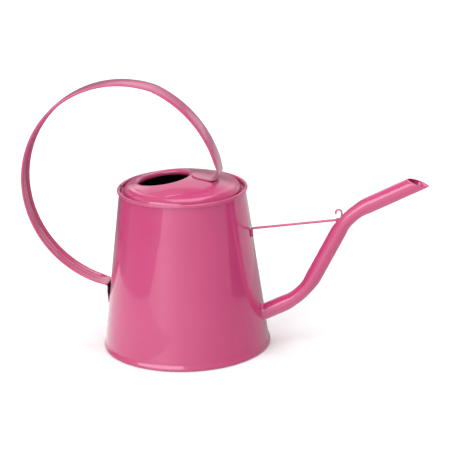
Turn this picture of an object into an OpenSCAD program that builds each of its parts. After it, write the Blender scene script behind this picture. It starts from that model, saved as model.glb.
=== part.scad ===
// Small sheet-metal watering can: tapered body, domed cover with a fill hole, one big
// strap handle over the top, a bent spout and a wire brace. Millimetres, +Z up, +X towards
// the spout. The origin is the centre of the base, on the surface that the can stands on.

/* [Body] */
// Outer diameter of the base seam
base_d = 150; // [146:0.5:156]
// Height of the rolled rim's centre above the floor
rim_z = 143.7; // [138:0.1:150]
// Diameter of the rolled rim, at the centre of its bead
rim_d = 112.2; // [108:0.2:116]
// Diameter of the rolled bead itself
bead_d = 3; // [2.6:0.1:3.4]
// Thickness of the sheet that the body, base and cover are made of
sheet = 0.6; // [0.5:0.05:0.7]
// Height of the base seam
seam_h = 5; // [4:0.1:6]
// Height of the base plate's underside above the floor
base_recess = 3.4; // [2.5:0.1:4.2]

/* [Cover] */
// Radius of the dome's outer sphere
dome_r = 125; // [120:1:140]
// Height of the dome's top above the floor
dome_top = 157; // [155:0.1:160]
// Radius of the cover's upright edge
cover_edge_r = 52; // [51:0.1:52.5]
// Radius of the fill hole
fill_r = 22.5; // [18:0.5:24]
// Lean of the fill hole towards the handle
fill_lean = 7.9; // [6:0.1:9]
// Depth of the fill hole's turned-down lip
lip_depth = 5; // [3:0.5:7]

/* [Spout] */
// Outer diameter of the spout tube
spout_d = 14; // [12:0.5:15]
// Wall thickness of the spout tube
spout_wall = 0.7; // [0.5:0.1:1]
// Height where the spout's centre line meets the wall
spout_z = 30.5; // [26:0.5:36]
// Slope of the stretch next to the wall
root_slope = 26.3; // [22:0.1:30]
// Length of the stretch next to the wall
root_len = 22; // [18:0.5:26]
// Slope of the steep middle stretch
rise_slope = 62.3; // [58:0.1:66]
// Length of the steep middle stretch
rise_len = 47.6; // [40:0.1:54]
// Slope of the last stretch
tip_slope = 26.8; // [22:0.1:32]
// Length of the last stretch, to the middle of the slanted opening
tip_len = 48.6; // [42:0.1:54]
// Bend radius of the spout's centre line
spout_bend = 60; // [50:1:66]

/* [Handle] */
// Width of the strap
strap_w = 20; // [18:0.5:22]
// Thickness of the strap's web
strap_t = 1.1; // [0.9:0.1:1.3]
// Diameter of the strap's rolled edges
hem_d = 2.4; // [2:0.1:2.8]
// Radius of the big rear sweep of the loop
loop_r = 93.2; // [92:0.1:95]
// Distance of the big sweep's centre behind the body's axis
loop_back = 50.8; // [49:0.1:53]
// Height of the big sweep's centre
loop_z = 144.6; // [143:0.1:146]
// Radius of the tight shoulder above the cover
shoulder_r = 25.5; // [22:0.5:30]
// Radius of the front stretch that comes down to the cover
front_r = 101.1; // [98:0.1:104]
// Bend radius where the strap turns onto the cover
top_bend_r = 6.2; // [4:0.1:8]
// Length of the foot that lies on the cover
top_foot = 20; // [16:0.5:21]
// Length of the foot that lies on the wall
low_foot = 19; // [15:0.5:22]

/* [Brace] */
// Diameter of the brace rod
rod_d = 2.2; // [1.8:0.1:2.6]
// Height where the brace rod leaves the wall
brace_z = 109; // [105:0.5:112]
// Diameter of the hook's wire
hook_wire = 1.6; // [1.2:0.1:1.8]
// Radius of the hook's turn
hook_r = 2.6; // [2.2:0.1:3]

/* [Hidden] */
$fn = 96;
fine_fn = 360;

pink = [0.85, 0.34, 0.53];
pink_deep = [0.74, 0.24, 0.42];
seal_grey = [0.62, 0.60, 0.60];

gap = 0.05;
proud = 0.03;
joint_len = 0.8;
base_r = base_d / 2;
bead_r = bead_d / 2;
rim_r = rim_d / 2;

// The wall's outer face is one straight taper, with a small flare over the last stretch.
taper_low_z = 8;
taper_low_r = base_r - 2;
taper = (taper_low_r - rim_r + 0.5) / (rim_z - taper_low_z);
flare_z = 11;
flare_out = 0.35;
wall_foot = 1;
function straight_r(z) = taper_low_r - (z - taper_low_z) * taper;
function flare(z) = z < flare_z ? flare_out * pow((flare_z - z) / flare_z, 2) : 0;
function wall_r(z) = straight_r(z) + flare(z);
low_zs = [for (i = [0:6]) wall_foot + i * (flare_z - wall_foot) / 6];
seam_half_angle = 2.4;
seam_bead = 0.7;
notch_w = 2.6;

// The base plate is a disc, an upright flange inside the wall, a floor ring and a curl.
flange_in = 3.6;
ring_w = 2.6;
curl_r = 1;

// The dome is a sphere's cap; its profile is listed by radius from the axis outwards.
dome_c = dome_top - dome_r;
shoulder_arc = 2.6;
dome_edge = cover_edge_r - shoulder_arc;
dome_steps = 14;
channel_z = rim_z - 5;
function dome_z(r, off = 0) = dome_c + sqrt(pow(dome_r + off, 2) - r * r);
function dome_line(off, r_end) = [for (i = [0:dome_steps])
    [i * r_end / dome_steps, dome_z(i * r_end / dome_steps, off)]];
shoulder_c = [dome_edge, dome_z(dome_edge) - shoulder_arc];
function shoulder_line(r) = [for (a = [75:-15:0])
    [shoulder_c.x + r * cos(a), shoulder_c.y + r * sin(a)]];

// The spout's centre line: three straight stretches and two bends in the XZ plane.
spout_r = spout_d / 2;
bore_r = spout_r - spout_wall;
spout_x = wall_r(spout_z) - 0.6;
spout_in = 5;
tip_cut = 45;
function dir(a) = [cos(a), sin(a)];
p_root = [spout_x, spout_z];
p1 = p_root + root_len * dir(root_slope);
c1 = p1 + spout_bend * dir(root_slope + 90);
p2 = c1 + spout_bend * dir(rise_slope - 90);
p3 = p2 + rise_len * dir(rise_slope);
c2 = p3 + spout_bend * dir(rise_slope - 90);
p4 = c2 + spout_bend * dir(tip_slope + 90);
p_tip = p4 + tip_len * dir(tip_slope);

// The handle's loop: a big rear sweep, a tight shoulder and a front stretch, all tangent.
shoulder_from = 64.4;
shoulder_to = 74;
sweep_c = [-loop_back, loop_z];
tight_c = sweep_c + (loop_r - shoulder_r) * dir(shoulder_to);
front_c = tight_c + (shoulder_r - front_r) * dir(shoulder_from);
low_bend_r = 2.4;
rib_r = 1;
rib_out = 0.35;
groove_r = 0.7;
groove_out = 0.2;
tip_lap = 1;
// Each end of the strap turns into a foot. The upper turn touches the dome's
// offset sphere and the front stretch; the lower one touches the wall's offset line
// and the sweep.
function angle_of(v) = atan2(v.y, v.x);
function circles_meet(a, ra, b, rb) = let (d = norm(b - a), u = (b - a) / d,
    x = (d * d + ra * ra - rb * rb) / (2 * d))
    a + x * u + sqrt(ra * ra - x * x) * [u.y, -u.x];
foot_off = gap + strap_t / 2;
dome_mid = [0, dome_c];
top_c = circles_meet(dome_mid, dome_r + foot_off + top_bend_r, front_c, front_r - top_bend_r);
front_end = angle_of(top_c - front_c);
top_touch = angle_of(dome_mid - top_c);
wall_lean = atan(taper);
wall_out = dir(180 - wall_lean);
wall_up = dir(90 - wall_lean);
from_sweep = [-straight_r(0), 0] + (foot_off + low_bend_r) * wall_out - sweep_c;
low_along = -from_sweep * wall_up - sqrt(pow(from_sweep * wall_up, 2)
    - from_sweep * from_sweep + pow(loop_r + low_bend_r, 2));
low_c = sweep_c + from_sweep + low_along * wall_up;
sweep_end = angle_of(low_c - sweep_c) + 360;
low_touch_z = low_c.y - low_bend_r * wall_out.y;
low_half_angle = asin(strap_w / 2 / straight_r(low_touch_z - low_foot));

// The brace rod: a foot on the wall, a kink, and a straight run to the spout.
rod_r = rod_d / 2;
hook_wire_r = hook_wire / 2;
brace_foot = 8;
bead_wire = 0.8;
rod_at = 9;
hook_at = 13.5;
rod_rest = c2 + (spout_bend + spout_r) * dir(rise_slope + 90 - rod_at);
hook_foot = c2 + (spout_bend + spout_r) * dir(rise_slope + 90 - hook_at);
kink = [straight_r(brace_z) + (rod_r + gap) / cos(wall_lean), brace_z];
run = rod_rest - kink;
run_angle = atan2(run.y, run.x);
hook_leg = 2.6;

module stand(p) {
    translate([p.x, 0, p.y]) rotate([90, 0, 0]) children();
}

module slanted(p, a) {
    translate([p.x, 0, p.y]) rotate([0, 90 - a, 0]) children();
}

module body_core(off = 0) {
    rotate_extrude() polygon([[0, wall_foot], [0, rim_z + 20],
        [straight_r(rim_z + 20) + off, rim_z + 20],
        for (i = [6:-1:0]) [wall_r(low_zs[i]) + off, low_zs[i]]]);
}

module tapered_shell(inner_off, outer_off, z0, z1, half_angle) {
    rotate_extrude(angle = 2 * half_angle, start = 180 - half_angle)
        polygon([[straight_r(z0) + inner_off, z0], [straight_r(z0) + outer_off, z0],
            [straight_r(z1) + outer_off, z1], [straight_r(z1) + inner_off, z1]]);
}

module rim_bead() {
    rotate_extrude() translate([rim_r, rim_z]) difference() {
        circle(r = bead_r);
        circle(r = bead_r - sheet);
        rotate(-62) translate([0, -0.15]) square([bead_r + 1, 0.3]);
    }
}

module body_wall() color(pink) difference() {
    union() {
        rotate_extrude() polygon([
            for (z = low_zs) [wall_r(z), z],
            [straight_r(rim_z), rim_z], [straight_r(rim_z) - sheet, rim_z],
            for (i = [6:-1:0]) [wall_r(low_zs[i]) - sheet, low_zs[i]]]);
        rim_bead();
        tapered_shell(-2 * sheet - 0.3, -sheet / 2, flare_z + 2, channel_z - 4, seam_half_angle);
    }
    slanted(p_root, root_slope) cylinder(r = spout_r + gap, h = 40, center = true);
    translate([-rim_r, 0, rim_z + bead_r]) cube([8, notch_w, bead_d], center = true);
}

module side_seam_solder() color(seal_grey) {
    for (side = [-1, 1]) rotate([0, 0, side * (seam_half_angle + seam_bead)])
        tapered_shell(-2 * sheet, -sheet, flare_z + 2, channel_z - 4, seam_bead);
}

module base_plate() color(pink) difference() {
    rotate_extrude() {
        translate([0, base_recess]) square([base_r - flange_in, sheet]);
        translate([base_r - flange_in, 0]) square([sheet, base_recess + sheet]);
        translate([base_r - flange_in, 0]) square([ring_w, sheet]);
        translate([base_r - sheet, curl_r]) square([sheet, seam_h - curl_r]);
        translate([base_r - curl_r, curl_r]) intersection() {
            difference() {
                circle(r = curl_r);
                circle(r = curl_r - sheet);
            }
            translate([0, -curl_r]) square(curl_r);
        }
    }
}

module base_seal() color(seal_grey) difference() {
    rotate_extrude() polygon([[base_r - 6.5, base_recess + sheet],
        [base_r - 1.4, base_recess + sheet], [base_r - 1.4, base_recess + sheet + 3.5]]);
    difference() {
        translate([0, 0, -1]) cylinder(r = base_r + 5, h = 40);
        body_core(-sheet);
    }
}

module top_cover() color(pink) {
    difference() {
        rotate_extrude() polygon([
            each dome_line(0, dome_edge), each shoulder_line(shoulder_arc),
            [cover_edge_r, channel_z + sheet],
            [straight_r(channel_z) - sheet - gap, channel_z + sheet],
            [straight_r(channel_z) - sheet - gap, channel_z - 3],
            [straight_r(channel_z) - 2 * sheet - gap, channel_z - 3],
            [straight_r(channel_z) - 2 * sheet - gap, channel_z],
            [cover_edge_r - sheet, channel_z],
            for (i = [5:-1:0]) shoulder_line(shoulder_arc - sheet)[i],
            for (i = [dome_steps:-1:0]) dome_line(-sheet, dome_edge)[i]]);
        translate([0, 0, dome_c]) rotate([0, -fill_lean, 0])
            cylinder(r = fill_r + sheet / 2, h = 2 * dome_r);
    }
    translate([0, 0, dome_c]) rotate([0, -fill_lean, 0])
        translate([0, 0, sqrt(dome_r * dome_r - fill_r * fill_r) - lip_depth]) difference() {
            cylinder(r = fill_r + sheet, h = lip_depth - 0.1);
            translate([0, 0, -1]) cylinder(r = fill_r, h = lip_depth + 2);
        }
}

module cover_solder() color(pink_deep) difference() {
    rotate_extrude() polygon([[straight_r(channel_z) - 2.4, channel_z + sheet],
        [straight_r(channel_z) + 1, channel_z + sheet],
        [straight_r(channel_z) + 1, channel_z + sheet + 1.6]]);
    difference() {
        cylinder(r = base_r + 5, h = rim_z + 20);
        body_core(-sheet);
    }
}

module spout_turn(c, a0, a1, r) {
    stand(c) rotate_extrude(angle = a1 - a0, start = a0) translate([spout_bend, 0]) circle(r = r);
}

// The bends are a hair fatter than the straight stretches, which lap into them.
module spout_run(r, extra) {
    slanted(p_root, root_slope) translate([0, 0, -spout_in - extra])
        cylinder(r = r, h = spout_in + extra + root_len + joint_len);
    spout_turn(c1, root_slope - 90, rise_slope - 90, r + proud);
    slanted(p2, rise_slope) translate([0, 0, -joint_len]) cylinder(r = r, h = rise_len + 2 * joint_len);
    spout_turn(c2, tip_slope + 90, rise_slope + 90, r + proud);
    slanted(p4, tip_slope) translate([0, 0, -joint_len])
        cylinder(r = r, h = joint_len + tip_len + spout_r + 1 + extra);
}

// The opening at the tip is cut across at a slant, so that its lower edge reaches further.
module spout_tube() color(pink) difference() {
    spout_run(spout_r, 0);
    spout_run(bore_r, 1);
    slanted(p_tip, tip_slope + tip_cut) translate([-40, -20, 0]) cube([80, 40, 40]);
}

module spout_solder() color(pink_deep) difference() {
    slanted(p_root, root_slope) translate([0, 0, -4])
        cylinder(r1 = spout_r + 2.6, r2 = spout_r - 0.4, h = 10, $fn = fine_fn);
    slanted(p_root, root_slope) cylinder(r = spout_r, h = 60, center = true, $fn = fine_fn);
    translate([0, 0, flare_z]) cylinder(r1 = straight_r(flare_z), r2 = straight_r(channel_z),
        h = channel_z - flare_z, $fn = fine_fn);
}

module strap_section(grow = 0) {
    difference() {
        union() {
            square([strap_t + 2 * grow, strap_w - hem_d], center = true);
            for (side = [-1, 1]) translate([0, side * (strap_w - hem_d) / 2])
                circle(d = hem_d + 2 * grow);
            translate([rib_out, 0]) circle(r = rib_r + grow);
        }
        translate([-strap_t / 2 - groove_out, 0]) circle(r = groove_r - grow);
    }
}

module flat_section() {
    square([strap_t, strap_w], center = true);
}

module strap_arc(c, r, a0, a1) {
    stand(c) rotate_extrude(angle = a1 - a0, start = a0) translate([r, 0]) strap_section();
}

// A short block round the place where two stretches of the strap meet, at angle a of a
// stretch with centre c and radius r.
module strap_joint(c, r, a) {
    stand(c + r * dir(a)) rotate(a) rotate([90, 0, 0])
        linear_extrude(joint_len, center = true) strap_section(proud);
}

module handle_strap() color(pink) {
    strap_arc(sweep_c, loop_r, shoulder_to, sweep_end);
    strap_arc(tight_c, shoulder_r, shoulder_from, shoulder_to);
    strap_arc(front_c, front_r, front_end, shoulder_from);
    strap_joint(sweep_c, loop_r, shoulder_to);
    strap_joint(tight_c, shoulder_r, shoulder_from);
    strap_joint(front_c, front_r, front_end);
    strap_joint(sweep_c, loop_r, sweep_end);
    top_bend();
    top_foot_plate();
    low_bend();
    low_foot_plate();
}

module top_bend() {
    stand(top_c) rotate_extrude(angle = front_end - top_touch, start = top_touch)
        translate([top_bend_r, 0]) flat_section();
}

module top_foot_plate() {
    intersection() {
        rotate_extrude() polygon([each dome_line(gap, dome_edge),
            for (i = [dome_steps:-1:0]) dome_line(gap + strap_t, dome_edge)[i]]);
        translate([top_c.x + top_bend_r * cos(top_touch) + 0.4, 0, 0])
            linear_extrude(dome_top + 20) foot_outline(strap_w / 2);
    }
}

module foot_outline(r) {
    translate([r - tip_lap - top_foot, -r]) square([top_foot - r + tip_lap, 2 * r]);
    translate([r - top_foot, 0]) intersection() {
        circle(r = r);
        translate([-r, -r]) square([r, 2 * r]);
    }
}

module low_bend() {
    stand(low_c) rotate_extrude(angle = sweep_end - 180 + wall_lean, start = -wall_lean)
        translate([low_bend_r, 0]) flat_section();
}

module low_foot_plate() {
    tapered_shell(gap, gap + strap_t, low_touch_z - low_foot, low_touch_z + 0.4, low_half_angle);
}

module brace_rod() color(pink) difference() {
    union() {
        slanted(kink, 270 - wall_lean) cylinder(r = rod_r, h = brace_foot);
        translate([kink.x, 0, kink.y]) sphere(r = rod_r + 0.02);
        slanted(kink, run_angle) cylinder(r = rod_r, h = norm(run) + 1);
    }
    spout_turn(c2, tip_slope + 90, rise_slope + 90, spout_r + proud);
}

module brace_hook() color(pink) {
    difference() {
        translate([hook_foot.x, 0, hook_foot.y - 2]) cylinder(r = hook_wire_r, h = hook_leg + 2);
        spout_turn(c2, tip_slope + 90, rise_slope + 90, spout_r + proud);
    }
    stand([hook_foot.x - hook_r, hook_foot.y + hook_leg]) rotate_extrude(angle = 180)
        translate([hook_r, 0]) circle(r = hook_wire_r);
    translate([hook_foot.x - 2 * hook_r, 0, hook_foot.y + 1]) cylinder(r = hook_wire_r, h = hook_leg - 1);
}

// A bead of solder lies along each side of the rod's foot.
module brace_wall_solder() color(pink_deep) slanted(kink, 270 - wall_lean) difference() {
    for (side = [-1, 1]) translate([rod_r - bead_wire - gap, side * (rod_r + bead_wire / 2), 1])
        cylinder(r = bead_wire, h = brace_foot - 2);
    cylinder(r = rod_r, h = brace_foot);
}

module brace_spout_solder() color(pink_deep) difference() {
    slanted(kink, run_angle) translate([0, 0, norm(run) - 2.2]) cylinder(r = rod_r + 1.1, h = 3.2);
    slanted(kink, run_angle) cylinder(r = rod_r, h = norm(run) + 2);
    spout_turn(c2, tip_slope + 90, rise_slope + 90, spout_r + proud);
}

body_wall();
side_seam_solder();
base_plate();
base_seal();
top_cover();
cover_solder();
spout_tube();
spout_solder();
handle_strap();
brace_rod();
brace_wall_solder();
brace_spout_solder();
brace_hook();
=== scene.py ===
"""A glossy pink sheet-metal watering can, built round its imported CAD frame.

Shapes are worked out in millimetres and written to the meshes in metres. +Z is up, +X points
towards the spout, and the XZ plane is the plane of symmetry.
"""
import math

import bmesh
import bpy
from mathutils import Matrix, Vector, noise

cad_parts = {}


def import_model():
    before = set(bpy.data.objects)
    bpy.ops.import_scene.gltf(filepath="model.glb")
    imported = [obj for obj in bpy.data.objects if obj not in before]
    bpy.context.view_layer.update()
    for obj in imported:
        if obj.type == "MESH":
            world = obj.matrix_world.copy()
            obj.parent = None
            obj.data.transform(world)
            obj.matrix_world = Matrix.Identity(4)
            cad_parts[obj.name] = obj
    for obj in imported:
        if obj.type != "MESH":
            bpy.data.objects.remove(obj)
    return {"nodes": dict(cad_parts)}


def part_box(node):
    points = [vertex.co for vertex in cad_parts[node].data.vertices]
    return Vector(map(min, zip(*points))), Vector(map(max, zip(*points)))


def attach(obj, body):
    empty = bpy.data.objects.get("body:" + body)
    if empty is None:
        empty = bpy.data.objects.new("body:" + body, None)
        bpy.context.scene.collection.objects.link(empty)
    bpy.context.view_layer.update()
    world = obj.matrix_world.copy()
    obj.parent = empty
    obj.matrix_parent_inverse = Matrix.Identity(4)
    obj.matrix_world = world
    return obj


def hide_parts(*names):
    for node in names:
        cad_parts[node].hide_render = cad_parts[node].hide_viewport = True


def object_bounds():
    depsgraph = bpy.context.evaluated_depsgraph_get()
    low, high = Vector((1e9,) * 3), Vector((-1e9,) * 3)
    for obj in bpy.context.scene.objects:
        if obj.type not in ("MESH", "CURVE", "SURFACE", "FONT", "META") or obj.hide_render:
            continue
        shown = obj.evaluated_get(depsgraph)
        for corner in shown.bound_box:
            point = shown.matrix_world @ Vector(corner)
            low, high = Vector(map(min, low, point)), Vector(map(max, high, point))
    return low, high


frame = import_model()
cad_box = [list(corner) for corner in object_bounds()]

MM = 0.001


# ---------------------------------------------------------------- sizes, in millimetres
def high_mm(node):
    """The highest corner of a CAD node's box."""
    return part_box(node)[1] / MM


# The sheet, and the base with its seam
SHEET = 0.6
BASE_R = high_mm("base_plate").y
BASE_RECESS = 3.4
SEAM_TOP = high_mm("base_plate").z
SEAM_ROUND = 1.3
FLANGE_R = BASE_R - 3.6
FLANGE_FOLD = 0.6

# The rim's hollow roll, the wall's taper and flared foot, and the waves in its sheet
BEAD_R = 1.5
BEAD_SHEET = 0.55
RIM_R = 56.1
RIM_Z = high_mm("body_wall").z - BEAD_R
TAPER_LOW_Z = 8.0
TAPER_LOW_R = BASE_R - 2.0
ROLL_OUT = 0.5
TAPER = (TAPER_LOW_R - RIM_R + ROLL_OUT) / (RIM_Z - TAPER_LOW_Z)
WALL_LEAN = math.atan(TAPER)
FLARE_Z = 11.0
FLARE_OUT = 0.35
WAVE = 0.06
WAVE_REACH = 38.0
WAVE_FADE = 20.0

# The side seam, its fold inside and the notch in the roll, with half of each one's width
SEAM_ANGLE = math.radians(183)
SEAM_HALF = math.radians(0.7)
SEAM_GROOVE = 0.25
FOLD_HALF = math.radians(2.4)
FOLD_IN = SHEET + 0.3
FOLD_FOOT_Z = 6.0
NOTCH_HALF = math.radians(1.4)

# The cover: dome, shoulder and the degrees its arc starts at, channel and its solder, and the
# fill hole with its rolled edge and lip
DOME_R = 125.0
DOME_TOP = high_mm("top_cover").z
DOME_C = DOME_TOP - DOME_R
COVER_EDGE_R = 52.0
COVER_SHOULDER_R = 7.5
COVER_SHOULDER_FROM = 68.0
CHANNEL_Z = RIM_Z - 5
CHANNEL_R = 0.8
CHANNEL_FILL = 2.6
FILL_R = 22.5
FILL_LEAN = math.radians(7.9)
LIP_ROLL = 2.8
LIP_DEPTH = 1.6

# The spout: three straight stretches with their slopes in degrees, and two bends between them
SPOUT_R = 7.0
SPOUT_WALL = 0.7
SPOUT_Z = 30.5
SPOUT_BEND = 60.0
SPOUT_SLOPES = (26.3, 62.3, 26.8)
SPOUT_LENGTHS = (22.0, 47.6, 48.6)
SPOUT_IN = 5.0
SPOUT_SLANT = 9.0
OVAL_IN = 0.87
OVAL_OUT = 1.03

# The strap's section, and the length over which it flattens towards a foot
STRAP_W = 20.0
STRAP_T = 1.1
STRAP_WEB = 0.9
HEM_R = 1.3
HEM_IN = 0.15
CROWN = 1.45
CROWN_FALL = 0.3
INNER_RIB = 0.25
INNER_RIB_W = 1.4
FLATTEN = 9.0

# The strap's run: the loop, its tighter shoulder between two angles, the front and the feet
LOOP_R = 93.2
LOOP_C = Vector((-50.8, 144.6))
LOOP_SHOULDER_R = 25.5
LOOP_SHOULDER_FROM = 64.4
LOOP_SHOULDER_TO = 74.0
FRONT_R = 101.1
TOP_BEND = 6.2
LOW_BEND = 2.4
STAND_OFF = 1.3
STAND_OFF_RUN = 15.0
TOP_FOOT = 18.0
LOW_FOOT = 19.0
FOOT_GAP = 0.05

# The brace and the hook. BRACE_AT and HOOK_AT are where they meet the spout, in degrees past the
# start of its second bend
ROD_R = 1.1
BRACE_Z = 109.0
BRACE_FOOT = 8.0
BRACE_BEND = 2.2
BRACE_AT = 9.0
HOOK_AT = 13.5
HOOK_WIRE_R = 0.8
HOOK_R = 2.6
HOOK_LEG = 2.6

AROUND = 288


# ---------------------------------------------------------------- small helpers
def unit(degrees):
    """The unit vector at an angle in degrees."""
    return Vector((math.cos(math.radians(degrees)), math.sin(math.radians(degrees))))


def straight_r(z):
    """The wall's outer radius at a height, along its straight taper."""
    return TAPER_LOW_R - (z - TAPER_LOW_Z) * TAPER


def wall_r(z):
    """The wall's outer radius at a height, with its flared foot."""
    flare = FLARE_OUT * ((FLARE_Z - z) / FLARE_Z) ** 2 if z < FLARE_Z else 0
    return straight_r(z) + flare


def ease(t):
    """A smooth step from 0 to 1 as t goes from 0 to 1."""
    t = min(1.0, max(0.0, t))
    return t * t * (3 - 2 * t)


def steps(start, end, count):
    """The ends of count equal steps, the start included."""
    return [start + (end - start) * i / count for i in range(count + 1)]


def arc(centre, radius, start, end, count):
    """Points (r, z) on an arc, from the start angle to the end angle in degrees."""
    return [Vector(centre) + radius * unit(a) for a in steps(start, end, count)]


def curve(start, corner, end, count):
    """Points on a curve from start to end that bends round towards a corner."""
    return [(1 - t) ** 2 * start + 2 * t * (1 - t) * corner + t * t * end
            for t in steps(0, 1, count)]


def level_ring(radius, z):
    """Points on a level circle round the Z axis."""
    angles = [2 * math.pi * i / AROUND for i in range(AROUND)]
    return [Vector((radius * math.cos(a), radius * math.sin(a), z)) for a in angles]


def lengths_along(points):
    """The length of a path up to each of its points."""
    length = [0.0]
    for a, b in zip(points, points[1:]):
        length.append(length[-1] + (b - a).length)
    return length


def sheet_wave(x, y, z, size, reach):
    """The slight unevenness of hand-rolled sheet."""
    return size * noise.noise(Vector((x, y, z)) / reach)


def new_mesh(name, verts, faces, sharp):
    """An object with a smooth mesh. Its edges are sharp where they bend more than sharp degrees."""
    mesh = bpy.data.meshes.new(name)
    mesh.from_pydata([Vector(v) * MM for v in verts], [], faces)
    mesh.validate()
    mesh.update()
    mesh.polygons.foreach_set("use_smooth", [True] * len(mesh.polygons))
    mesh.set_sharp_from_angle(angle=math.radians(sharp))
    piece = bpy.data.objects.new(name, mesh)
    bpy.context.scene.collection.objects.link(piece)
    return piece


def skin(name, rings, path_closed=False, capped=False, sharp=35):
    """A skin of quads over closed rings of points, each ring with the same number of points."""
    count = len(rings[0])
    verts = [p for ring in rings for p in ring]
    faces = []
    for i in range(len(rings) if path_closed else len(rings) - 1):
        a = i * count
        b = (i + 1) % len(rings) * count
        for j in range(count):
            k = (j + 1) % count
            faces.append((a + j, a + k, b + k, b + j))
    if capped:
        faces.append(tuple(reversed(range(count))))
        faces.append(tuple(range((len(rings) - 1) * count, len(rings) * count)))
    return new_mesh(name, verts, faces, sharp)


def outward(piece):
    """Turns every face so that the closed skin faces outwards."""
    bm = bmesh.new()
    bm.from_mesh(piece.data)
    bmesh.ops.recalc_face_normals(bm, faces=bm.faces)
    bm.to_mesh(piece.data)
    bm.free()
    return piece


def lathe(name, profile, shape=None):
    """Turns a closed (r, z) profile round the Z axis. shape(r, z, angle) may move a point."""
    rings = []
    for i in range(AROUND):
        a = 2 * math.pi * i / AROUND
        ring = []
        for r, z in profile:
            if shape:
                r, z = shape(r, z, a)
            ring.append(Vector((r * math.cos(a), r * math.sin(a), z)))
        rings.append(ring)
    return outward(skin(name, rings, path_closed=True))


def swept_rings(points, section):
    """Rings of points along a path in the XZ plane. section(i, s, total) gives the ring at point
    i, which is s along the path's total length, as a list of (across, out) or (across, out,
    along). across is along Y, and out is to the right of the way the path runs."""
    length = lengths_along(points)
    rings = []
    for i, p in enumerate(points):
        ahead = points[min(i + 1, len(points) - 1)] - points[max(i - 1, 0)]
        ahead.normalize()
        out = Vector((ahead.y, -ahead.x))
        ring = []
        for across, height, *along in section(i, length[i], length[-1]):
            q = p + out * height + ahead * (along[0] if along else 0)
            ring.append(Vector((q.x, across, q.y)))
        rings.append(ring)
    return rings


def sweep(name, points, section, sharp):
    """A closed piece swept along a path, as swept_rings says."""
    return outward(skin(name, swept_rings(points, section), capped=True, sharp=sharp))


# ---------------------------------------------------------------- materials
def node_tree(name):
    """A new material, its node tree, its shader and the object's coordinates in metres."""
    material = bpy.data.materials.new(name)
    material.use_nodes = True
    tree = material.node_tree
    coords = tree.nodes.new("ShaderNodeTexCoord").outputs["Object"]
    return material, tree, tree.nodes["Principled BSDF"], coords


def grey(level):
    return (level, level, level, 1)


def noise_node(tree, coords, scale, detail=2.0, roughness=0.5):
    node = tree.nodes.new("ShaderNodeTexNoise")
    node.inputs["Scale"].default_value = scale
    node.inputs["Detail"].default_value = detail
    node.inputs["Roughness"].default_value = roughness
    tree.links.new(coords, node.inputs["Vector"])
    return node.outputs["Fac"]


def ramp_node(tree, fac, stops):
    node = tree.nodes.new("ShaderNodeValToRGB")
    while len(node.color_ramp.elements) < len(stops):
        node.color_ramp.elements.new(0.5)
    for element, (position, color) in zip(node.color_ramp.elements, stops):
        element.position = position
        element.color = color
    tree.links.new(fac, node.inputs["Fac"])
    return node.outputs["Color"]


def range_node(tree, value, low, high, to_low, to_high):
    node = tree.nodes.new("ShaderNodeMapRange")
    limits = {"From Min": low, "From Max": high, "To Min": to_low, "To Max": to_high}
    for name, number in limits.items():
        node.inputs[name].default_value = number
    tree.links.new(value, node.inputs["Value"])
    return node.outputs["Result"]


def feed(tree, socket, value):
    """Links a socket to another node's output, or sets it to a plain value."""
    if isinstance(value, bpy.types.NodeSocket):
        tree.links.new(value, socket)
    else:
        socket.default_value = value


def mix_node(tree, fac, a, b):
    node = tree.nodes.new("ShaderNodeMix")
    node.data_type = "RGBA"
    feed(tree, node.inputs["Factor"], fac)
    feed(tree, node.inputs["A"], a)
    feed(tree, node.inputs["B"], b)
    return node.outputs["Result"]


def math_node(tree, operation, a, b):
    node = tree.nodes.new("ShaderNodeMath")
    node.operation = operation
    feed(tree, node.inputs[0], a)
    feed(tree, node.inputs[1], b)
    return node.outputs["Value"]


def dot_node(tree, vector, other):
    node = tree.nodes.new("ShaderNodeVectorMath")
    node.operation = "DOT_PRODUCT"
    node.inputs[1].default_value = other
    tree.links.new(vector, node.inputs[0])
    return node.outputs["Value"]


def bump_node(tree, height, distance, strength, normal=None):
    node = tree.nodes.new("ShaderNodeBump")
    node.inputs["Distance"].default_value = distance
    node.inputs["Strength"].default_value = strength
    tree.links.new(height, node.inputs["Height"])
    if normal:
        tree.links.new(normal, node.inputs["Normal"])
    return node.outputs["Normal"]


PINK = (0.510, 0.0430, 0.162, 1)
PINK_THIN = (0.520, 0.0450, 0.167, 1)
PINK_THICK = (0.498, 0.0410, 0.157, 1)
PRIMER = (0.30, 0.11, 0.14, 1)
CHIPS = (0.76, 0.772)


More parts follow.
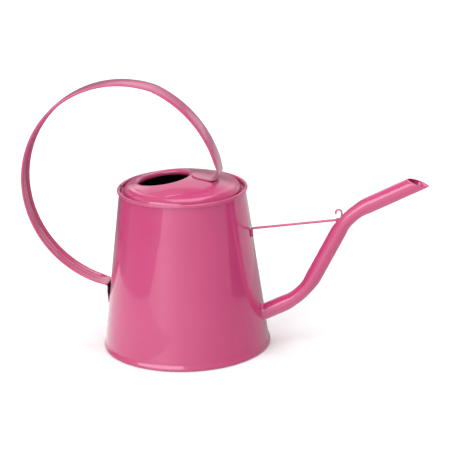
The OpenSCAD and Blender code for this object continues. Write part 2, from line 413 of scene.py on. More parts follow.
def enamel(name, lumps=0.0):
    """Sprayed gloss enamel: slightly thin and thick patches, fine orange peel, a few specks of
    dust under the gloss, and pinhead chips down to the primer. lumps is how much the solder
    below shows through."""
    material, tree, shader, coords = node_tree(name)
    patches = ramp_node(tree, noise_node(tree, coords, 22, 3), (
        (0.3, PINK_THICK), (0.5, PINK), (0.72, PINK_THIN)))
    speck_noise = noise_node(tree, coords, 900, 1)
    specks = range_node(tree, speck_noise, 0.70, 0.76, 0, 0.35)
    color = mix_node(tree, specks, patches, PINK_THICK)
    chipped = range_node(tree, noise_node(tree, coords, 330, 4, 0.6), *CHIPS, 0, 1)
    color = mix_node(tree, chipped, color, PRIMER)
    tree.links.new(color, shader.inputs["Base Color"])
    rough = range_node(tree, noise_node(tree, coords, 60, 3), 0.3, 0.7, 0.19, 0.24)
    tree.links.new(rough, shader.inputs["Roughness"])
    shader.inputs["IOR"].default_value = 1.5
    shader.inputs["Coat Weight"].default_value = 1.0
    shader.inputs["Coat Roughness"].default_value = 0.035
    shader.inputs["Coat IOR"].default_value = 1.55
    normal = bump_node(tree, noise_node(tree, coords, 420, 2), 0.00004, 0.3)
    normal = bump_node(tree, speck_noise, 0.00005, 0.2, normal)
    if lumps:
        normal = bump_node(tree, noise_node(tree, coords, 260, 2), 0.0002, lumps, normal)
    tree.links.new(normal, shader.inputs["Normal"])
    peel = bump_node(tree, noise_node(tree, coords, 300, 1), 0.00002, 0.2)
    tree.links.new(peel, shader.inputs["Coat Normal"])
    return material


def dull_skin(name, tones, roughness, grain, scales, grain_detail=3, metallic=0.0):
    """A dull skin whose tone and roughness vary from patch to patch, each between two values.
    grain is its bump's depth in metres and strength. scales are the noise scales of the tone,
    the roughness and the grain."""
    material, tree, shader, coords = node_tree(name)
    tone_scale, rough_scale, grain_scale = scales
    tone = ramp_node(tree, noise_node(tree, coords, tone_scale, 4), (
        (0.3, tones[0]), (0.7, tones[1])))
    tree.links.new(tone, shader.inputs["Base Color"])
    rough = range_node(tree, noise_node(tree, coords, rough_scale, 3), 0.3, 0.7, *roughness)
    tree.links.new(rough, shader.inputs["Roughness"])
    shader.inputs["Metallic"].default_value = metallic
    normal = bump_node(tree, noise_node(tree, coords, grain_scale, grain_detail), *grain)
    tree.links.new(normal, shader.inputs["Normal"])
    return material


def painted_shade_dark():
    """Near-black painted shade for the can's inner faces and the crevice at the strap's lower foot,
    where little light reaches, with faint streaks in its tone.
    """
    return dull_skin("painted_shade_dark", ((0.004, 0.003, 0.003, 1), (0.010, 0.007, 0.008, 1)),
                     (0.55, 0.75), (0.0002, 0.4), (90, 200, 350))


def bare_solder():
    """Dull tin solder with a grainy, brushed skin."""
    return dull_skin("bare_solder", ((0.28, 0.28, 0.30, 1), (0.56, 0.56, 0.58, 1)),
                     (0.35, 0.6), (0.0003, 0.5), (240, 500, 700), metallic=1.0)


def seam_compound():
    """Matt grey sealing compound, brushed on."""
    return dull_skin("seam_compound", ((0.20, 0.19, 0.18, 1), (0.34, 0.32, 0.31, 1)),
                     (0.65, 0.85), (0.0005, 0.6), (150, 400, 500), grain_detail=4)


ENAMEL = enamel("pink_enamel")
SOLDER_ENAMEL = enamel("pink_enamel_over_solder", lumps=0.4)
# Painted shade: a near-black material for the can's unlit inside and the strap's lower-foot
# crevice.
PAINTED_SHADE_DARK = painted_shade_dark()


def keep(piece, material, slot, *nodes, inside=None):
    """Gives a piece its material, and lets it ride on the can and stand for nodes. slot is not
    used.
    inside is the material of the faces that the piece marks as its inner ones."""
    for each in (material, inside):
        if each:
            piece.data.materials.append(each)
    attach(piece, "root")
    if nodes:
        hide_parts(*nodes)
    return piece


# ---------------------------------------------------------------- body
def spout_root():
    """The point (x, z) where the spout's centre line meets the wall's inner face."""
    return Vector((wall_r(SPOUT_Z) - SHEET, SPOUT_Z))


def body_shell():
    """The wall's two skins, with the side seam's groove outside and its fold inside."""
    foot = [Vector((wall_r(z), z)) for z in steps(1.0, FLARE_Z, 8)]
    rise = [Vector((wall_r(z), z)) for z in steps(FLARE_Z, RIM_Z - 0.4, 34)][1:]
    outer = foot + rise
    inner = [Vector((p.x - SHEET, p.y)) for p in reversed(outer)]

    def shape(r, z, a):
        x, y = r * math.cos(a), r * math.sin(a)
        fade = ease((z - FOLD_FOOT_Z) / WAVE_FADE) * ease((RIM_Z - 4 - z) / WAVE_FADE)
        inside = r < wall_r(z) - SHEET / 2
        from_seam = abs((a - SEAM_ANGLE + math.pi) % (2 * math.pi) - math.pi)
        if inside and from_seam < FOLD_HALF and z > FOLD_FOOT_Z:
            r -= FOLD_IN
        if not inside and from_seam < SEAM_HALF:
            r -= SEAM_GROOVE
        r += fade * sheet_wave(x, y, z * 0.6, WAVE, WAVE_REACH)
        return r, z

    body = lathe("body_shell", outer + inner, shape)
    open_spout_hole(body)
    paint_shade_inside(body)
    return body


def open_spout_hole(body):
    """Opens a round hole in the wall where the spout goes through. Its edge is snapped to the
    spout's own cylinder and closed between the two skins, so that the sheet meets the tube all
    round."""
    start = spout_root()
    way = unit(SPOUT_SLOPES[0])
    axis = Vector((way.x, 0, way.y))
    centre = Vector((start.x, 0, start.y)) * MM
    hole_r = (SPOUT_R - 0.2) * MM

    def from_axis(p):
        d = p - centre
        return d - d.dot(axis) * axis

    bm = bmesh.new()
    bm.from_mesh(body.data)
    near = [f for f in bm.faces if f.calc_center_median().x > 0
            and from_axis(f.calc_center_median()).length < hole_r]
    bmesh.ops.delete(bm, geom=near, context="FACES")
    edge = [e for e in bm.edges if e.is_boundary]
    for v in {v for e in edge for v in e.verts}:
        side = from_axis(v.co)
        v.co += side.normalized() * (hole_r - side.length)
    bmesh.ops.bridge_loops(bm, edges=edge)
    bmesh.ops.recalc_face_normals(bm, faces=bm.faces)
    bm.to_mesh(body.data)
    bm.free()


def paint_shade_inside(body):
    """The wall's inner faces below the channel take the second material, the near-black painted
    shade of the can's unlit inside.
    """
    top = (CHANNEL_Z - 1) * MM
    for face in body.data.polygons:
        outwards = Vector((face.center.x, face.center.y, 0)).dot(face.normal) > 0
        face.material_index = 0 if outwards or face.center.z > top else 1


def rolled_rim():
    """The rim's hollow roll. It is open at the notch, where its two hollow ends show."""
    start = SEAM_ANGLE + NOTCH_HALF
    end = SEAM_ANGLE - NOTCH_HALF + 2 * math.pi
    count = 24

    def ring(angle, radius):
        points = []
        for i in range(count):
            b = 2 * math.pi * i / count
            wobble = sheet_wave(60 * math.cos(angle), 60 * math.sin(angle), 5 * b, 0.08, 9)
            r = RIM_R + (radius + wobble) * math.cos(b)
            z = RIM_Z + radius * math.sin(b)
            points.append(Vector((r * math.cos(angle), r * math.sin(angle), z)))
        return points

    rings = [ring(angle, BEAD_R) for angle in steps(start, end, AROUND)]
    rings += [ring(angle, BEAD_R - BEAD_SHEET) for angle in steps(end, start, AROUND)]
    return outward(skin("rolled_rim", rings, path_closed=True))


def base_seam():
    """The recessed base plate, its upright flange and floor ring, and the seam that closes on
    the wall's foot: rounded underneath, and running up into the wall without a step."""
    lap_r = wall_r(SEAM_TOP) + 0.12
    behind_r = wall_r(2) - 0.2
    fold = FLANGE_FOLD
    top = BASE_RECESS + SHEET
    flat_r = FLANGE_R - 4
    profile = [Vector((0.2, BASE_RECESS))]
    profile += [Vector((r, BASE_RECESS)) for r in steps(8, FLANGE_R - 1.4, 10)]
    profile += arc((FLANGE_R - 0.8, BASE_RECESS - fold), fold, 90, 0, 4)
    profile += arc((FLANGE_R + 0.4, fold), fold, 180, 270, 4)
    profile += arc((BASE_R - SEAM_ROUND, SEAM_ROUND), SEAM_ROUND, -90, 12, 10)
    profile += [Vector((BASE_R - inwards, z)) for inwards, z in (
        (0.02, 1.9), (0.28, 2.6), (0.68, 3.3), (1.05, 4.1))]
    profile += [Vector((lap_r, SEAM_TOP)), Vector((lap_r - 0.3, SEAM_TOP + 0.1)),
                Vector((behind_r, SEAM_TOP - 1)), Vector((behind_r, 1.0)),
                Vector((FLANGE_R + 1.0, 1.0)), Vector((FLANGE_R + 0.2, top))]
    profile += [Vector((r, top)) for r in steps(flat_r, 8, 8)]
    profile += [Vector((0.2, top))]

    def shape(r, z, a):
        if r < flat_r:
            x, y = r * math.cos(a), r * math.sin(a)
            z += sheet_wave(x, y, 3, 0.35, 30) * ease((flat_r - r) / 12)
        return r, z

    return lathe("base_seam", profile, shape)


# ---------------------------------------------------------------- cover
def dome_cover():
    """The cover as one sheet: lip, rolled hole edge, dome, shoulder, skirt and channel."""
    lean = Matrix.Rotation(-FILL_LEAN, 3, "Y")
    dome_centre = Vector((0, 0, DOME_C))

    def hole_ring(radius, height):
        """A ring round the hole's own axis, at a height above the dome's centre."""
        return [lean @ p + dome_centre for p in level_ring(radius, height)]

    roll_r = FILL_R + LIP_ROLL
    roll_c = math.sqrt(DOME_R ** 2 - roll_r ** 2) - LIP_ROLL
    roll_end = 90 - math.degrees(math.asin(roll_r / DOME_R))
    rings = [hole_ring(FILL_R, roll_c - depth) for depth in steps(LIP_DEPTH, 0, 3)[:-1]]
    rings += [hole_ring(r, z) for r, z in arc((roll_r, roll_c), LIP_ROLL, 180, roll_end, 10)]

    dome_edge = COVER_EDGE_R - COVER_SHOULDER_R
    edge_z = math.sqrt(DOME_R ** 2 - dome_edge ** 2)
    inner = [p - dome_centre for p in rings[-1]]
    edge = level_ring(dome_edge, edge_z)
    for t in steps(0, 1, 26)[1:]:
        between = [a.lerp(b, t) for a, b in zip(inner, edge)]
        rings.append([p * (DOME_R / p.length) + dome_centre for p in between])

    shoulder_z = DOME_C + edge_z - COVER_SHOULDER_R
    foot_z = CHANNEL_Z + SHEET + CHANNEL_R
    outer = arc((dome_edge, shoulder_z), COVER_SHOULDER_R, COVER_SHOULDER_FROM, 0, 8)
    outer += [Vector((COVER_EDGE_R, z)) for z in steps(shoulder_z - 1, foot_z, 3)]
    outer += arc((COVER_EDGE_R + CHANNEL_R, foot_z), CHANNEL_R, 180, 270, 4)[1:]
    outer += [Vector((straight_r(CHANNEL_Z) - SHEET - 0.05, CHANNEL_Z + SHEET))]
    rings += [level_ring(r, z) for r, z in outer]
    cover = skin("dome_cover", rings, sharp=50)
    thick = cover.modifiers.new("sheet", "SOLIDIFY")
    thick.thickness = SHEET * MM
    thick.offset = -1
    # The sheet's inner skin takes the second material, the near-black painted shade inside the can.
    thick.material_offset = 1
    return outward(cover)


def channel_fill():
    """The solder that seals the channel round the cover: a hollow fillet up to the wall."""
    wall_in = straight_r(CHANNEL_Z + CHANNEL_FILL - 0.2) - SHEET
    low = Vector((COVER_EDGE_R + 0.5, CHANNEL_Z + SHEET + 0.12))
    high = Vector((wall_in + 0.1, CHANNEL_Z + CHANNEL_FILL))
    corner = Vector((high.x - 0.5, low.y))
    profile = curve(low, corner, high, 10)
    profile += [Vector((high.x, CHANNEL_Z + 0.4)), Vector((low.x, CHANNEL_Z + 0.4))]

    def shape(r, z, a):
        if z > CHANNEL_Z + SHEET:
            z += sheet_wave(r * math.cos(a), r * math.sin(a), 0, 0.25, 7)
        return r, z

    return lathe("channel_fill", profile, shape)


# ---------------------------------------------------------------- spout
def spout_line():
    """The spout's centre line as a list of (point, bend) in the XZ plane, where bend goes from 0
    on a straight stretch to 1 in the middle of a bend, and the centre of its second bend."""
    root, rise, tip = SPOUT_SLOPES
    p0 = spout_root()
    p1 = p0 + SPOUT_LENGTHS[0] * unit(root)
    c1 = p1 + SPOUT_BEND * unit(root + 90)
    p2 = c1 + SPOUT_BEND * unit(rise - 90)
    p3 = p2 + SPOUT_LENGTHS[1] * unit(rise)
    c2 = p3 + SPOUT_BEND * unit(rise - 90)
    p4 = c2 + SPOUT_BEND * unit(tip + 90)
    p5 = p4 + SPOUT_LENGTHS[2] * unit(tip)

    def bend(centre, start, end, count=20):
        """The points of one bend, each with how far into the bend it is."""
        amounts = [ease(1 - v ** 2) for v in steps(-1, 1, count)]
        return list(zip(arc(centre, SPOUT_BEND, start, end, count), amounts))[1:]

    line = [(p0 + t * unit(root), 0) for t in steps(-SPOUT_IN, SPOUT_LENGTHS[0], 14)]
    line += bend(c1, root - 90, rise - 90)
    line += [(p2.lerp(p3, t), 0) for t in steps(0, 1, 12)][1:]
    line += bend(c2, rise + 90, tip + 90)
    line += [(p4.lerp(p5, t), 0) for t in steps(0, 1, 16)][1:]
    return line, c2


def bent_spout():
    """The tube: pressed a little oval in its bends, and cut at a slant at its tip."""
    line, _ = spout_line()
    points = [p for p, _ in line]
    bends = [b for _, b in line]
    count = 56
    slant_from = len(points) - 4

    def section_of(radius):
        def section(i, s, total):
            tall = radius * (1 - (1 - OVAL_IN) * bends[i])
            wide = radius * (1 + (OVAL_OUT - 1) * bends[i])
            cut = ease((s - total + SPOUT_SLANT) / SPOUT_SLANT) if i >= slant_from else 0
            ring = []
            for j in range(count):
                b = 2 * math.pi * j / count
                height = tall * math.sin(b)
                ring.append((wide * math.cos(b), height, height * cut))
            return ring
        return section

    outer = swept_rings(points, section_of(SPOUT_R))
    inner = swept_rings(points, section_of(SPOUT_R - SPOUT_WALL))
    lip_out = Vector((0.25, 0, 0.15))
    lip = [o.lerp(i, 0.5) + lip_out for o, i in zip(outer[-1], inner[-1])]
    rings = outer + [lip] + list(reversed(inner))
    return outward(skin("bent_spout", rings, path_closed=True, sharp=50))


def on_second_bend(past_start):
    """The point on top of the spout this many degrees past the start of its second bend."""
    _, c2 = spout_line()
    return c2 + (SPOUT_BEND + SPOUT_R * OVAL_IN) * unit(SPOUT_SLOPES[1] + 90 - past_start)


def spout_fillet():
    """The solder fillet between the wall and the spout: a hollow curve with a lumpy edge."""
    way = unit(SPOUT_SLOPES[0])
    ahead = Vector((way.x, 0, way.y))
    side = Vector((0, 1, 0))
    up = side.cross(ahead)
    start = spout_root()
    origin = Vector((start.x, 0, start.y))

    def on_wall(radial, distance):
        """How far along the spout's axis the wall is, at a distance from that axis."""
        t = 0.0
        for _ in range(12):
            p = origin + radial * distance + ahead * t
            t += (wall_r(p.z) - math.hypot(p.x, p.y)) / way.x
        return t

    around = 72
    across = 9
    rings = [[] for _ in range(across + 2)]
    for j in range(around):
        b = 2 * math.pi * j / around
        radial = side * math.cos(b) + up * math.sin(b)
        reach = 2.0 + 0.35 * noise.noise(Vector((3 * math.cos(b), 3 * math.sin(b), 7)))
        corner_t = on_wall(radial, SPOUT_R)
        wall_end = Vector((SPOUT_R + reach, on_wall(radial, SPOUT_R + reach) - 0.15))
        corner = Vector((SPOUT_R + 0.2, corner_t + 0.2))
        tube_end = Vector((SPOUT_R + 0.02, corner_t + reach * 1.2))
        for ring, p in zip(rings, curve(wall_end, corner, tube_end, across)):
            ring.append(origin + radial * p.x + ahead * p.y)
        rings[-1].append(origin + radial * (SPOUT_R - 0.1) + ahead * (wall_end.y - 1.0))
    return outward(skin("spout_fillet", rings, path_closed=True, sharp=60))


# ---------------------------------------------------------------- handle
def angle_of(v):
    """The direction of a vector, in degrees."""
    return math.degrees(math.atan2(v.y, v.x))


def circles_meet(a, ra, b, rb):
    """The right-hand point where two circles meet, seen from the first centre to the second."""
    d = (b - a).length
    u = (b - a) / d
    x = (d * d + ra * ra - rb * rb) / (2 * d)
    return a + x * u + math.sqrt(ra * ra - x * x) * Vector((u.y, -u.x))


def strap_path():
    """The strap's centre line, from the tip of the upper foot over the loop to the tip of the
    lower foot, and for each foot's bend the numbers of its first and last points. The lower foot
    stands off the wall at its bend and touches it further down."""
    off = FOOT_GAP + STRAP_T / 2
    tight_c = LOOP_C + (LOOP_R - LOOP_SHOULDER_R) * unit(LOOP_SHOULDER_TO)
    front_c = tight_c + (LOOP_SHOULDER_R - FRONT_R) * unit(LOOP_SHOULDER_FROM)
    dome_mid = Vector((0, DOME_C))
    top_c = circles_meet(dome_mid, DOME_R + off + TOP_BEND, front_c, FRONT_R - TOP_BEND)
    front_end = angle_of(top_c - front_c)
    top_touch = angle_of(dome_mid - top_c)
    lean = math.degrees(WALL_LEAN)
    wall_out = unit(180 - lean)
    wall_up = unit(90 - lean)
    from_loop = Vector((-straight_r(0), 0)) + (off + STAND_OFF + LOW_BEND) * wall_out - LOOP_C
    along = -from_loop.dot(wall_up) - math.sqrt(
        from_loop.dot(wall_up) ** 2 - from_loop.dot(from_loop) + (LOOP_R + LOW_BEND) ** 2)
    low_c = LOOP_C + from_loop + along * wall_up
    loop_end = angle_of(low_c - LOOP_C) + 360

    foot_at = angle_of(top_c - dome_mid)
    foot_turn = math.degrees(TOP_FOOT / (DOME_R + off))
    path = arc(dome_mid, DOME_R + off, foot_at + foot_turn, foot_at, 32)
    bend_one = [len(path) - 1]
    path += arc(top_c, TOP_BEND, top_touch, front_end, 14)[1:]
    bend_one.append(len(path) - 1)
    path += arc(front_c, FRONT_R, front_end, LOOP_SHOULDER_FROM, 60)[1:]
    path += arc(tight_c, LOOP_SHOULDER_R, LOOP_SHOULDER_FROM, LOOP_SHOULDER_TO, 10)[1:]
    path += arc(LOOP_C, LOOP_R, LOOP_SHOULDER_TO, loop_end, 180)[1:]
    bend_two = [len(path) - 1]
    path += arc(low_c, LOW_BEND, loop_end - 180, -lean, 10)[1:]
    bend_two.append(len(path) - 1)
    down = path[-1]
    path += [down - wall_up * t - STAND_OFF * ease(t / STAND_OFF_RUN) * wall_out
             for t in steps(0, LOW_FOOT, 30)][1:]
    return path, bend_one, bend_two


def strap_outline(width, flat):
    """The strap's outline as (across, out) points: a crowned outer face, edges rolled inwards,
    and a low rib along the inner face. flat goes from 0 on the loop to 1 on a foot."""
    hem = HEM_R + (STRAP_T / 2 - HEM_R) * flat
    drop = HEM_IN * (1 - flat)
    edge = width / 2 - hem
    top = CROWN + (STRAP_T / 2 - CROWN) * flat
    fall = CROWN_FALL * (1 - flat)

    def outer(y):
        return top - fall * (y / edge) ** 2

    def inner(y):
        web = outer(y) - STRAP_WEB - (STRAP_T - STRAP_WEB) * flat
        rib = 0.5 + 0.5 * math.cos(math.pi * min(1, abs(y) / INNER_RIB_W))
        return web - INNER_RIB * rib * (1 - flat)

    meet = math.degrees(math.asin(min(1, max(-1, (inner(edge) + drop) / hem))))
    roll = [(edge + hem * math.cos(math.radians(a)), hem * math.sin(math.radians(a)) - drop)
            for a in steps(88, meet - 180 if flat < 0.999 else -90, 18)]
    # The points crowd towards the middle, where the rib is.
    spans = [math.copysign(abs(v) ** 1.6, v) for v in steps(0.97, -0.97, 28)]
    inside = min(edge, roll[-1][0])
    return (roll + [(inside * v, inner(inside * v)) for v in spans]
            + [(-y, h) for y, h in reversed(roll)]
            + [(-edge * v, outer(edge * v)) for v in spans])


def strap_loop():
    """The strap, crowned along its loop and flat on its two feet, whose tips are round. The lower
    foot's inner face takes the second material, near-black painted shade for the crevice between
    that foot and the wall."""
    path, bend_one, bend_two = strap_path()
    length = lengths_along(path)
    total = length[-1]
    touch_one, end_one = (length[i] for i in bend_one)
    end_two, touch_two = (total - length[i] for i in bend_two)
    tip = STRAP_W / 2

    def section(i, s, total):
        from_end = total - s
        from_feet = min(s - end_one, from_end - end_two - 1)
        flat = 1 - ease(from_feet / FLATTEN)
        width = STRAP_W
        to_tip = min(s, from_end)
        if to_tip < tip:
            width = max(1.4, width * math.sqrt(1 - (1 - to_tip / tip) ** 2))
        # Each foot is bowed to the dome or the wall that it lies on.
        on_dome = 1 - ease((s - touch_one + 4) / 6)
        on_wall = 1 - ease((from_end - touch_two + 14) / 12)
        sag = on_dome / (2 * DOME_R) - on_wall / (2 * straight_r(FLARE_Z))
        return [(y, h + sag * y * y) for y, h in strap_outline(width, flat)]

    strap = sweep("strap_loop", path, section, sharp=50)
    foot_top = path[bend_two[1]].y + 2.5
    # Painted shade: the lower foot's faces that look at the wall get the near-black second material
    # for the crevice.
    for face in strap.data.polygons:
        low = face.center.x < 0 and face.center.z < foot_top * MM
        if low and face.normal.x > 0.5:
            face.material_index = 1
    return strap


# ---------------------------------------------------------------- brace and hook
def wire_ring(radius, count=20, squash=1.0):
    """A wire's section, pressed to squash times its height."""
    return [(radius * math.cos(2 * math.pi * j / count),
             squash * radius * math.sin(2 * math.pi * j / count)) for j in range(count)]


def brace_points():
    """The kink at the wall, the rod's end on the spout, and the way down the wall."""
    down = -unit(90 + math.degrees(WALL_LEAN))
    kink = Vector((straight_r(BRACE_Z) + (ROD_R + 0.05) / math.cos(WALL_LEAN), BRACE_Z))
    return kink, on_second_bend(BRACE_AT), down


def brace_wire():
    """The rod from the wall to the spout. Its foot is bent down along the wall and pressed a
    little flat."""
    kink, rest, down = brace_points()
    foot_end = kink + down * BRACE_FOOT
    run = (rest - kink).normalized()
    start = kink + down * BRACE_BEND
    end = kink + run * BRACE_BEND
    path = [foot_end.lerp(start, t) for t in steps(0, 1, 8)]
    path += curve(start, kink, end, 10)[1:]
    path += [end.lerp(rest + run * 0.8, t) for t in steps(0, 1, 40)][1:]

    def section(i, s, total):
        tip = min(1, s / 0.8)
        return wire_ring(ROD_R * (0.55 + 0.45 * tip), squash=0.82 + 0.18 * ease((s - 1) / 6))

    return sweep("brace_wire", path, section, sharp=50)


def wire_hook():
    """A thinner wire that stands on the spout and bends over in a half circle."""
    foot = on_second_bend(HOOK_AT)
    top = foot + Vector((0, HOOK_LEG))
    path = [foot + Vector((0, -1.2))]
    path += [foot.lerp(top, t) for t in steps(0, 1, 5)]
    path += arc(top + Vector((-HOOK_R, 0)), HOOK_R, 0, 180, 20)[1:]
    path += [path[-1] - Vector((0, t)) for t in steps(0, HOOK_LEG - 1, 5)][1:]

    def section(i, s, total):
        tip = min(1, (total - s) / 0.6)
        return wire_ring(HOOK_WIRE_R * (0.6 + 0.4 * tip), 16)

    return sweep("wire_hook", path, section, sharp=60)


def blob(name, centre, ahead, size, seed):
    """A lump of solder: a long rounded drop, uneven all over. size is half its length along
    ahead, half its width and half its height."""
    ahead = ahead.normalized()
    side = Vector((0, 1, 0))
    up = ahead.cross(side)
    around = 18
    rings = []
    for t in steps(-1, 1, 14):
        swell = math.sqrt(max(0.0, 1 - t * t)) * (1 + 0.15 * t)
        ring = []
        for j in range(around):
            b = 2 * math.pi * j / around
            y, z = math.cos(b), math.sin(b)
            lump = 1 + 0.22 * noise.noise(Vector((2 * t, 1.4 * y, 1.4 * z + seed)))
            w = max(0.02, swell * lump)
            ring.append(centre + ahead * size[0] * t + side * size[1] * w * y
                        + up * size[2] * w * z)
        rings.append(ring)
    return outward(skin(name, rings, capped=True, sharp=70))


def joined(name, pieces):
    """Joins pieces into the first one, and names it."""
    bpy.ops.object.select_all(action="DESELECT")
    for piece in pieces:
        piece.select_set(True)
    bpy.context.view_layer.objects.active = pieces[0]
    bpy.ops.object.join()
    whole = bpy.context.view_layer.objects.active
    whole.name = name
    whole.select_set(False)
    return whole


def brace_solders():
    """A bead along each side of the brace's foot, as one piece, and the lump at its other end."""
    kink, rest, down = brace_points()
    middle = kink + down * 4.6
    ahead = Vector((down.x, 0, down.y))
    beads = [blob("bead", Vector((middle.x - 0.45, side * 1.15, middle.y)), ahead,
                  (3.0, 0.8, 0.62), side) for side in (-1, 1)]
    run = (rest - kink).normalized()
    at = rest - run * 0.6
    end = blob("brace_end_solder", Vector((at.x, 0, at.y)), Vector((run.x, 0, run.y)),
               (2.0, 1.9, 1.9), 5)
    return joined("brace_foot_solder", beads), end


# ---------------------------------------------------------------- put the can together
# The second material on the body, cover and strap is near-black painted shade for the unlit inside
# and the strap's lower-foot crevice.
keep(body_shell(), ENAMEL, "enamel", "body_wall", inside=PAINTED_SHADE_DARK)
keep(rolled_rim(), ENAMEL, "enamel")
keep(base_seam(), ENAMEL, "enamel", "base_plate")
keep(dome_cover(), ENAMEL, "enamel", "top_cover", inside=PAINTED_SHADE_DARK)
keep(channel_fill(), SOLDER_ENAMEL, "enamelled_solder", "cover_solder")
keep(bent_spout(), ENAMEL, "enamel", "spout_tube")
keep(spout_fillet(), SOLDER_ENAMEL, "enamelled_solder", "spout_solder")
keep(strap_loop(), ENAMEL, "enamel", "handle_strap", inside=PAINTED_SHADE_DARK)
keep(brace_wire(), ENAMEL, "enamel", "brace_rod")
keep(wire_hook(), ENAMEL, "enamel", "brace_hook")
foot_solder, end_solder = brace_solders()
keep(foot_solder, SOLDER_ENAMEL, "enamelled_solder", "brace_wall_solder")
keep(end_solder, SOLDER_ENAMEL, "enamelled_solder", "brace_spout_solder")

KEPT_NODES = {
    "side_seam_solder": bare_solder(),
    "base_seal": seam_compound(),
}
for node_name, node_material in KEPT_NODES.items():
    for slot in frame["nodes"][node_name].material_slots:
        slot.material = node_material


# ---------------------------------------------------------------- stage, light and camera
# Angles are in degrees, the lens and sensor in millimetres, and the rest in metres.
VIEW_AZIMUTH = 12.0
VIEW_ELEVATION = 17.96
VIEW_ROLL = 1.5
VIEW_DISTANCE = 1.65
VIEW_OFFSET = Vector((0.0018, 0, -0.0085))
LENS = 149.84
SENSOR = 36.0
FLOOR_HALF = 6.0
FLOOR_DROP = 0.0002


def view_axes():
    """The camera's right, up and back directions."""
    a = math.radians(VIEW_AZIMUTH)
    e = math.radians(VIEW_ELEVATION)
    r = math.radians(VIEW_ROLL)
    back = Vector((math.sin(a) * math.cos(e), -math.cos(a) * math.cos(e), math.sin(e)))
    right = Vector((math.cos(a), math.sin(a), 0))
    up = back.cross(right)
    return (right * math.cos(r) - up * math.sin(r),
            right * math.sin(r) + up * math.cos(r), back)


def add_camera():
    """The camera looks at the middle of the CAD box, moved by the offset."""
    low, high = (Vector(c) for c in cad_box)
    target = (low + high) / 2 + VIEW_OFFSET
    right, up, back = view_axes()
    data = bpy.data.cameras.new("camera")
    data.lens = LENS
    data.sensor_width = SENSOR
    camera = bpy.data.objects.new("camera", data)
    turn = Matrix((right, up, back)).transposed().to_4x4()
    camera.matrix_world = Matrix.Translation(target + back * VIEW_DISTANCE) @ turn
    bpy.context.scene.collection.objects.link(camera)
    bpy.context.scene.camera = camera


def emission(name, glow):
    """A material that only glows, in white."""
    material = bpy.data.materials.new(name)
    material.use_nodes = True
    tree = material.node_tree
    tree.nodes.clear()
    shine = tree.nodes.new("ShaderNodeEmission")
    shine.inputs["Color"].default_value = grey(1)
    shine.inputs["Strength"].default_value = glow
    out = tree.nodes.new("ShaderNodeOutputMaterial")
    tree.links.new(shine.outputs["Emission"], out.inputs["Surface"])
    return material


def stage_piece(name, corners, material):
    """One flat face of the stage."""
    mesh = bpy.data.meshes.new(name)
    mesh.from_pydata(corners, [], [tuple(range(len(corners)))])
    mesh.materials.append(material)
    piece = bpy.data.objects.new(name, mesh)
    bpy.context.scene.collection.objects.link(piece)
    return piece


def floor():
    """A plain pale floor. The gloss doesn't see it: it sees the surround and the level cards at
    the floor's height instead."""
    material, tree, shader, coords = node_tree("pale_floor")
    tone = ramp_node(tree, noise_node(tree, coords, 3, 2), (
        (0.3, grey(0.84)), (0.7, grey(0.87))))
    tree.links.new(tone, shader.inputs["Base Color"])
    shader.inputs["Roughness"].default_value = 0.9
    shader.inputs["Specular IOR Level"].default_value = 0.1
    corners = [(x * FLOOR_HALF, y * FLOOR_HALF, -FLOOR_DROP)
               for x, y in ((-1, -1), (1, -1), (1, 1), (-1, 1))]
    stage_piece("floor", corners, material).visible_glossy = False


def card(name, height, outline, glow):
    """A level card that only the gloss sees. Its outline is a list of (towards the camera, to
    the camera's right) points in metres, measured from the can's axis."""
    a = math.radians(VIEW_AZIMUTH)
    right = Vector((math.cos(a), math.sin(a), 0))
    near = Vector((math.sin(a), -math.cos(a), 0))
    up = Vector((0, 0, height))
    corners = [near * forward + right * across + up for forward, across in outline]
    piece = stage_piece(name, corners, emission(name, glow))
    piece.visible_camera = False
    piece.visible_diffuse = False
    piece.visible_shadow = False
    piece.visible_transmission = False


def sun(name, toward, strength, spread):
    """A soft sun, spread degrees across, in a direction. The gloss doesn't see it."""
    data = bpy.data.lights.new(name, "SUN")
    data.energy = strength
    data.angle = math.radians(spread)
    light = bpy.data.objects.new(name, data)
    light.rotation_euler = Vector(toward).to_track_quat("Z", "Y").to_euler()
    light.visible_glossy = False
    bpy.context.scene.collection.objects.link(light)


def world():
    """A surround that is bright on the left and dim on the right, under a dim ceiling. Low at
    the back left it fades into a darker band."""
    surround = bpy.data.worlds.new("studio")
    bpy.context.scene.world = surround
    surround.use_nodes = True
    tree = surround.node_tree
    background = tree.nodes["Background"]
    coords = tree.nodes.new("ShaderNodeTexCoord").outputs["Generated"]
    across = dot_node(tree, coords, (-0.9, -0.1, 0.0))
    side = ramp_node(tree, range_node(tree, across, -1, 1, 0, 1), (
        (0.05, grey(0.42)), (0.26, grey(0.68)), (0.55, grey(1.05)), (0.72, grey(1.5)),
        (0.93, grey(1.0))))
    toward = dot_node(tree, coords, (0.669, -0.743, 0.0))
    fade = range_node(tree, toward, -0.95, 0.1, 0.15, 1.0)
    height = dot_node(tree, coords, (0, 0, 1))
    above = range_node(tree, height, 0.17, 0.4, 0.0, 1.0)
    below = range_node(tree, height, -0.12, -0.04, 0.26, 0.0)
    band = math_node(tree, "MAXIMUM", fade, math_node(tree, "MAXIMUM", above, below))
    ceiling = range_node(tree, height, 0.45, 0.72, 1.0, 0.3)
    tree.links.new(side, background.inputs["Color"])
    tree.links.new(math_node(tree, "MULTIPLY", band, ceiling), background.inputs["Strength"])


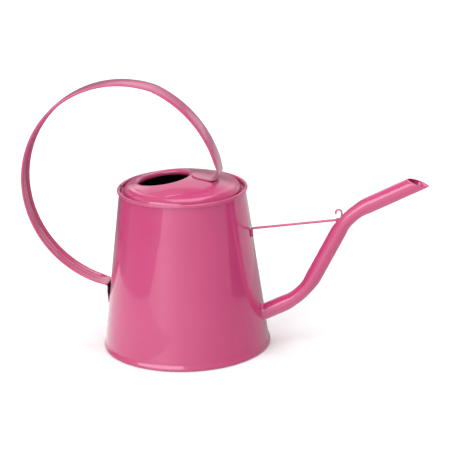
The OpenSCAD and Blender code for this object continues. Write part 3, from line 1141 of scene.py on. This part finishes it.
def studio():
    """The floor, the surround, the cards that the gloss sees and the two suns. The first six
    cards lie at the floor's height, and the other five hang a metre up."""
    floor()
    world()
    card("left_gap", 0.0, [
        (-0.1, -0.39), (0.0, -0.415), (0.32, -0.447), (0.843, -0.778), (1.904, -1.264),
        (5.0, -2.9), (5.0, -6.0), (-1.0, -6.0)], 0.34)
    card("left_near", 0.0, [
        (-0.12, -0.06), (-0.2, -0.345), (-0.1, -0.375), (0.0, -0.4), (0.32, -0.432),
        (0.3, -0.1)], 0.95)
    card("left_gap_back", 0.0, [
        (-1.5, 0.33), (-0.387, -0.26), (-0.309, -0.321), (-0.2, -0.36), (-0.1, -0.39),
        (-1.0, -6.0), (-1.5, -6.0)], 0.16)
    card("left_back", 0.001, [
        (-0.3, -0.26), (-0.3, 0.05), (-3.0, 0.05), (-3.0, 1.2), (-1.5, 0.33),
        (-0.387, -0.26)], 0.3)
    card("right_gap", 0.0, [
        (0.16, 0.43), (0.2, 0.7), (0.21, 1.1), (0.25, 4.0), (-0.6, 4.0), (-0.17, 0.79),
        (-0.1, 0.5), (-0.08, 0.3)], 0.02)
    card("right_back", 0.0, [
        (-0.08, 0.3), (-0.1, 0.5), (-0.17, 0.79), (-0.6, 4.0), (-4.0, 4.0), (-4.0, 0.2),
        (-0.5, 0.1)], 0.6)
    card("top_box", 1.0, [
        (-0.56, -0.25), (-0.1, -0.22), (0.4, -0.2), (0.4, 0.4), (-0.6, 0.4)], 2.0)
    card("back_box", 1.0, [(-0.82, -0.3), (-0.82, 0.2), (-1.5, 0.35), (-1.5, -0.3)], 0.85)
    card("back_left", 1.0, [(-0.5, -0.33), (-0.5, -1.0), (-2.4, -2.2), (-2.4, -0.8)], 0.2)
    card("back_right", 1.0, [(-2.6, 1.3), (-2.0, 2.2), (-6.0, 7.5), (-9.0, 4.5)], 0.8)
    card("key_box", 1.0, [(0.38, -1.03), (1.1, -0.1), (4.0, -0.35), (1.37, -3.76)], 3.4)
    sun("key", (-0.43, -0.60, 0.75), 1.12, 30)
    sun("top", (0.05, 0.1, 1.0), 2.4, 70)


studio()
add_camera()

bpy.context.scene.view_settings.view_transform = "Standard"
